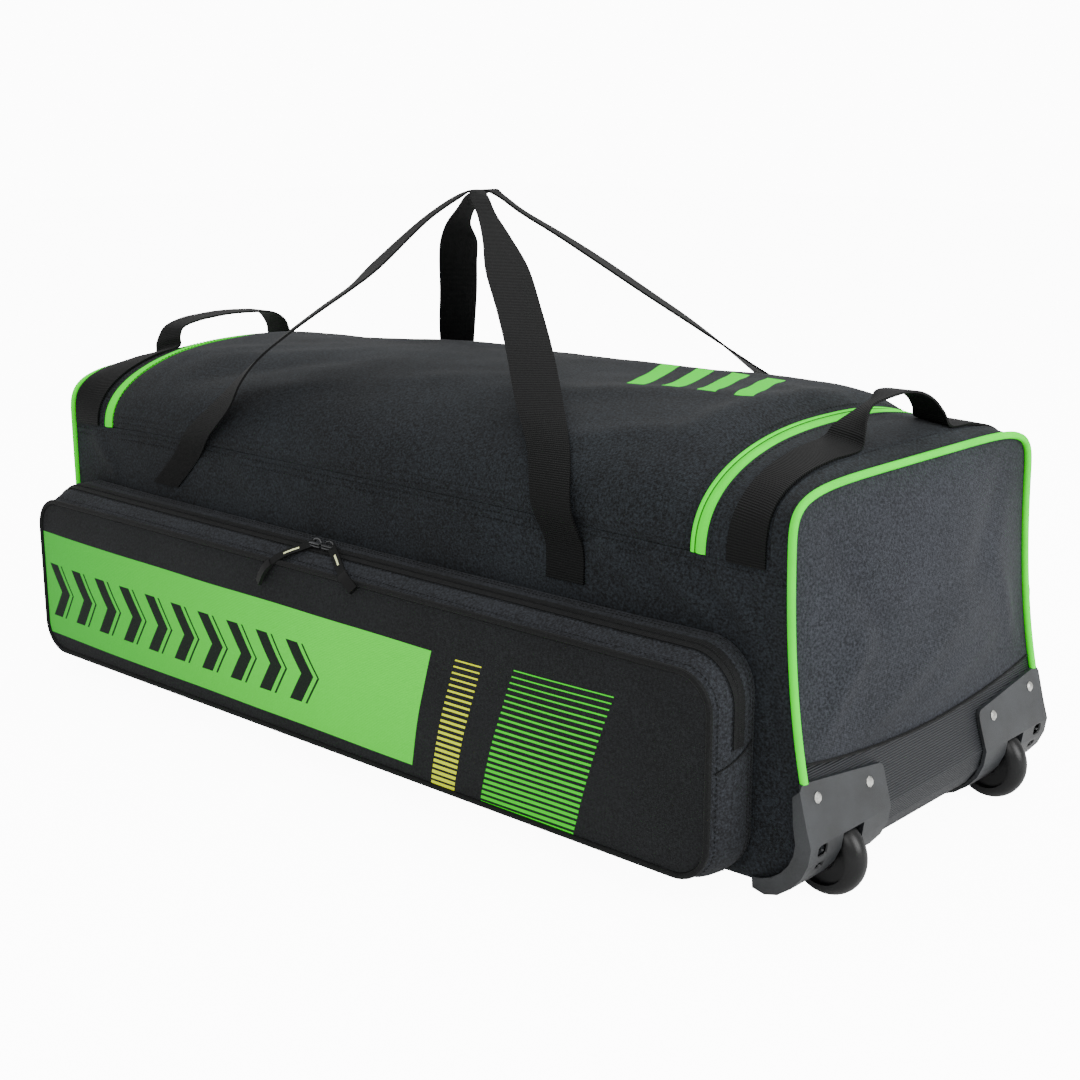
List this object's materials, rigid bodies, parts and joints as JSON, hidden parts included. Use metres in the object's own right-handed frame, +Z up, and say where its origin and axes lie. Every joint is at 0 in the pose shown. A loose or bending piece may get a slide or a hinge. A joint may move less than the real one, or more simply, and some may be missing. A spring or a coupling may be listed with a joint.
{
  "type": "cricket kit bag",
  "caption": "Long soft black kit bag on two wheels, with a domed zipped lid, neon green zip strips and piping, side pockets, carry straps and end handles.",
  "frame": {"origin": "on the floor under the middle of the whole bag", "axes": "+X towards the wheel end, -Y towards the front with the printed pocket, +Z up"},
  "size_m": [0.9764, 0.4838, 0.518],
  "materials": {
    "black_cloth": "matt coated woven polyester",
    "black_webbing": "ribbed polypropylene webbing",
    "black_trim": "black zip tape, piping and cord",
    "neon_cloth": "neon green woven tape",
    "scuff_cloth": "ribbed coated scuff cloth",
    "housing_plastic": "grained grey-black moulding",
    "wheel_plastic": "smooth hard black wheel",
    "steel": "plain zinc-plated steel",
    "slider_metal": "gunmetal zip slider"
  },
  "bodies": {
    "bag": {"base_panel": "black_cloth", "front_wall": "black_cloth", "back_wall": "black_cloth", "lid": "black_cloth", "main_zip_wheel_end": "neon_cloth", "main_zip_far_end": "neon_cloth", "main_zip_back": "neon_cloth", "wheel_end_gusset": "black_cloth", "far_end_gusset": "black_cloth", "wheel_end_panel": "black_cloth", "far_end_panel": "black_cloth", "wheel_end_piping": "neon_cloth", "far_end_piping": "neon_cloth", "wheel_end_handle": "black_webbing", "far_end_handle": "black_webbing", "front_pocket_gusset": "black_cloth", "front_pocket_face": "black_cloth", "front_pocket_piping": "black_trim", "front_pocket_zip": "black_trim", "front_pocket_left_slider": "slider_metal", "front_pocket_left_pull": "black_trim", "front_pocket_right_slider": "slider_metal", "front_pocket_right_pull": "black_trim", "back_pocket_gusset": "black_cloth", "back_pocket_face": "black_cloth", "back_pocket_piping": "black_trim", "back_pocket_zip": "black_trim", "back_pocket_slider": "slider_metal", "back_pocket_pull": "black_trim", "front_carry_strap": "black_webbing", "back_carry_strap": "black_webbing", "front_wheel_housing": "housing_plastic", "back_wheel_housing": "housing_plastic", "scuff_band": "scuff_cloth", "front_rivet_outer": "steel", "front_rivet_inner": "steel", "front_axle": "steel", "back_rivet_outer": "steel", "back_rivet_inner": "steel", "back_axle": "steel"},
    "front_wheel_body": {"front_wheel": "wheel_plastic"},
    "back_wheel_body": {"back_wheel": "wheel_plastic"}
  },
  "joints": [
    {"name": "front_wheel_spin", "type": "hinge", "parent": "bag", "child": "front_wheel_body", "pos_m": [0.45567, -0.131, 0.033], "axis": [0, 1, 0], "continuous": true},
    {"name": "back_wheel_spin", "type": "hinge", "parent": "bag", "child": "back_wheel_body", "pos_m": [0.45567, 0.131, 0.033], "axis": [0, 1, 0], "continuous": true}
  ]
}
